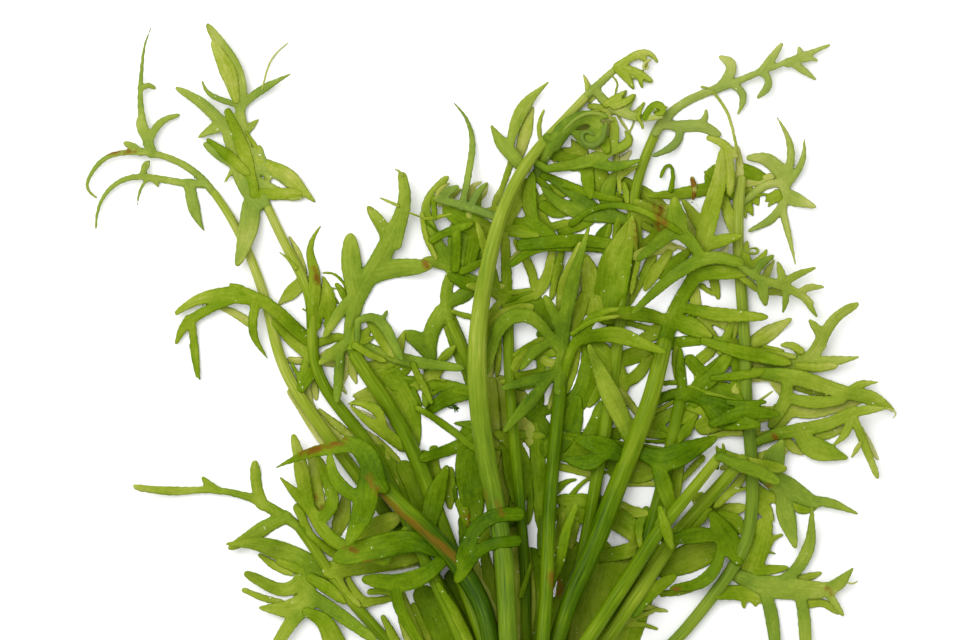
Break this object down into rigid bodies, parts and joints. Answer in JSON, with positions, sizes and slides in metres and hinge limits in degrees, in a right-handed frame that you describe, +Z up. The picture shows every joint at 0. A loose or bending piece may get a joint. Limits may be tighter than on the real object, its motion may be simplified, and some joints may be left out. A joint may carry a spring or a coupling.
{
  "type": "aquarium plant",
  "caption": "Picked bunch of water sprite, Ceratopteris: pale fleshy stalks fanning from a short crown, each with thin strap-lobed green blades, lying flat.",
  "frame": {"origin": "centre of the bounding box's footprint, at the table", "axes": "+Y from the crown up the fronds, +X to the right as seen from above, +Z up from the table"},
  "size_m": [0.2428, 0.2314, 0.0245],
  "materials": {
    "stalk_green": "pale olive green, finely striped along its length, slightly glossy, as a wet stalk",
    "leaf_green": "mid to yellow green, thin and slightly glossy, with brown edges and patches, as a wet leaf",
    "crown_brown": "olive brown, matte, fibrous"
  },
  "bodies": {
    "root": {"arch_stalk": "stalk_green", "tall_stalk": "stalk_green", "hand_stalk": "stalk_green", "mid_left_stalk": "stalk_green", "low_left_stalk": "stalk_green", "striped_stalk": "stalk_green", "thick_stalk": "stalk_green", "straight_stalk": "stalk_green", "centre_stalk": "stalk_green", "upper_right_stalk": "stalk_green", "broad_stalk": "stalk_green", "dark_stalk": "stalk_green", "pale_stalk": "stalk_green", "slant_stalk": "stalk_green", "far_right_stalk": "stalk_green", "arch_blade": "leaf_green", "tall_blade": "leaf_green", "left_wing_blade": "leaf_green", "hand_blade": "leaf_green", "whorl_arch_blade": "leaf_green", "low_hand_blade": "leaf_green", "mid_left_blade": "leaf_green", "low_left_blade": "leaf_green", "low_left_fork_blade": "leaf_green", "upright_blade": "leaf_green", "striped_blade": "leaf_green", "striped_wide_blade": "leaf_green", "striped_low_blade": "leaf_green", "thick_left_blade": "leaf_green", "thick_branch_blade": "leaf_green", "thick_tip_blade": "leaf_green", "fiddle_blade": "leaf_green", "thick_mid_blade": "leaf_green", "behind_top_blade": "leaf_green", "long_left_blade": "leaf_green", "straight_blade": "leaf_green", "centre_blade": "leaf_green", "centre_over_blade": "leaf_green", "bright_blade": "leaf_green", "broad_low_blade": "leaf_green", "broad_low_left_blade": "leaf_green", "broad_blade": "leaf_green", "brown_spot_blade": "leaf_green", "right_grey_blade": "leaf_green", "upper_right_blade": "leaf_green", "far_right_blade": "leaf_green", "far_right_fine_blade": "leaf_green", "antler_blade": "leaf_green", "right_spear_blade": "leaf_green", "right_fan_blade": "leaf_green", "right_fork_blade": "leaf_green", "right_lower_blade": "leaf_green", "lower_right_blade": "leaf_green", "lower_right_upper_blade": "leaf_green", "right_centre_blade": "leaf_green", "right_back_blade": "leaf_green", "pale_blade": "leaf_green", "base_leaf_blade": "leaf_green", "base_dark_blade": "leaf_green", "crown": "crown_brown"}
  },
  "joints": []
}
